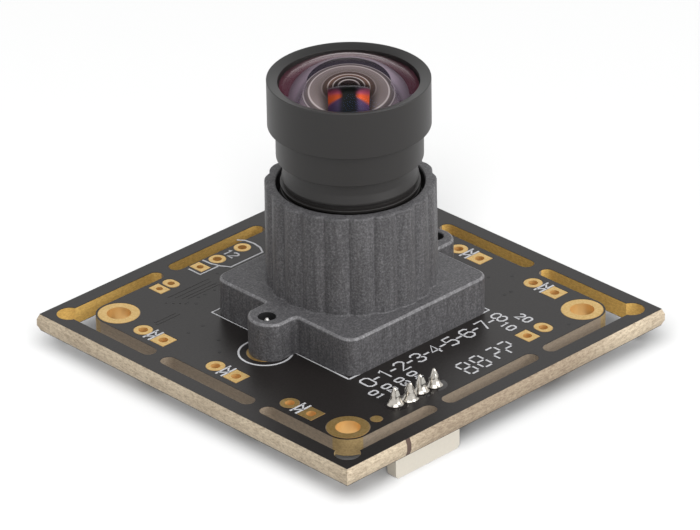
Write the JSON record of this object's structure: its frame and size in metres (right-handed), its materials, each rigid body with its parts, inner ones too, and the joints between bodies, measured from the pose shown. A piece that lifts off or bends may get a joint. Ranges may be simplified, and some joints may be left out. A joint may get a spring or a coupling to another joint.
{
  "type": "board camera module",
  "caption": "Square circuit board with a snap-away frame, a ribbed moulded lens holder and a screwed-in wide angle lens, with a wire header underneath.",
  "frame": {"origin": "middle of the four mounting holes, on the underside of the board", "axes": "+Z out of the lens, +X along the edge that has the wire header, +Y away from that edge"},
  "size_m": [0.038, 0.038, 0.0295],
  "materials": {
    "laminate": "rough sawn fibreglass edge",
    "mask": "satin black lacquer",
    "gold": "bright gold plating",
    "holder": "fine moulded grain",
    "screws": "bright nickel",
    "barrel": "black anodised, turned",
    "coated_glass": "polished, coated",
    "inner_glass": "polished, coated",
    "spacer": "matt black",
    "filter": "polished, coated",
    "sensor": "ceramic package",
    "cover_glass": "polished",
    "ivory": "moulded nylon",
    "tin": "tinned",
    "solder": "bright solder",
    "chip": "moulded epoxy",
    "can": "plated lid",
    "ferrite": "pressed ferrite",
    "ceramic_tan": "fired ceramic",
    "resistor_black": "glazed"
  },
  "bodies": {
    "root": {"circuit_board": "laminate", "solder_mask_top": "mask", "solder_mask_bottom": "mask", "mounting_hole_rings": "gold", "screw_pad_rings": "gold", "lamp_pads_round": "gold", "lamp_pads_square": "gold", "edge_pads_square": "gold", "edge_pads_oval": "gold", "edge_pads_round": "gold", "reference_dot": "gold", "lens_holder": "holder", "holder_screws": "screws", "lens_barrel": "barrel", "front_lens": "coated_glass", "second_lens": "inner_glass", "third_lens": "inner_glass", "rear_lens": "inner_glass", "front_spacer": "spacer", "middle_spacer": "spacer", "rear_spacer": "spacer", "aperture_stop": "spacer", "infrared_filter": "filter", "image_sensor": "sensor", "sensor_glass": "cover_glass", "connector_housing": "ivory", "connector_pins": "tin", "solder_joints": "solder", "controller_chip": "chip", "memory_chip": "chip", "regulators": "chip", "memory_leads": "tin", "regulator_leads": "tin", "crystal": "can", "inductor": "ferrite", "capacitor_bodies": "ceramic_tan", "capacitor_ends": "tin", "resistor_bodies": "resistor_black", "resistor_ends": "tin"}
  },
  "joints": []
}
